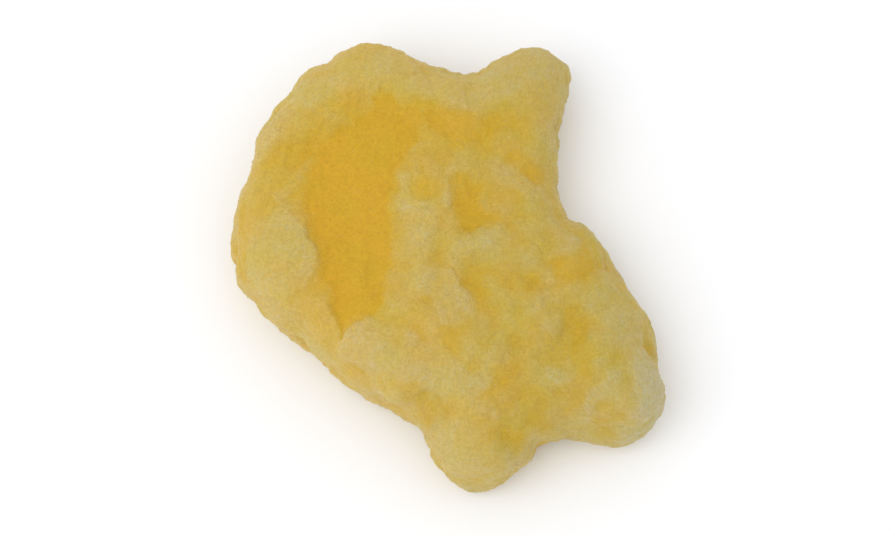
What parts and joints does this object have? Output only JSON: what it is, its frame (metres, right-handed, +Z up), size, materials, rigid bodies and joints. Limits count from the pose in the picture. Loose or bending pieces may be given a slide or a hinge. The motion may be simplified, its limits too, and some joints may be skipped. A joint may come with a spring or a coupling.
{
  "type": "dried pineapple piece",
  "caption": "Thick lobed piece of dried, sugar-dusted pineapple lying flat, edible snack or cake decoration.",
  "frame": {"origin": "on the surface that the piece rests on, under the middle of its plan", "axes": "+Z up out of the upper cut side; +Y along the longer side of the plan, towards the narrow upper border; +X to the right, towards the lobes"},
  "size_m": [0.0394, 0.043, 0.0103],
  "materials": {
    "sugared_flesh": "pale yellow translucent fruit flesh under a dull, uneven coat of fine sugar"
  },
  "bodies": {
    "root": {"dried_pineapple": "sugared_flesh"}
  },
  "joints": []
}
